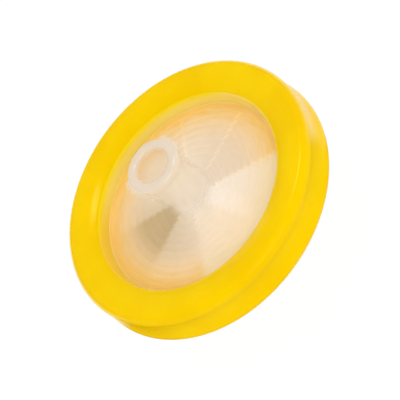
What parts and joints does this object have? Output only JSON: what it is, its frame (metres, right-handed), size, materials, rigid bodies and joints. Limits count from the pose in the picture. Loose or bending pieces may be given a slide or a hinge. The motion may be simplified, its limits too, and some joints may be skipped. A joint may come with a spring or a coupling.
{
  "type": "syringe filter",
  "caption": "Disc-shaped single-use filter with a yellow overmoulded grip ring, a clear ribbed inlet window, a female luer-lock inlet and a male luer slip outlet.",
  "frame": {"origin": "centre of the outlet nozzle's tip, on the flow axis", "axes": "+Z along the flow axis towards the luer-lock inlet, +X through one of the inlet's two lugs"},
  "size_m": [0.033, 0.033, 0.0208],
  "materials": {
    "grip_ring": "satin moulded yellow polypropylene",
    "clear_housing": "natural translucent moulded polypropylene, milky",
    "membrane": "white microporous film"
  },
  "bodies": {
    "root": {"overmould_ring": "grip_ring", "inlet_housing": "clear_housing", "membrane": "membrane", "outlet_housing": "clear_housing"}
  },
  "joints": []
}
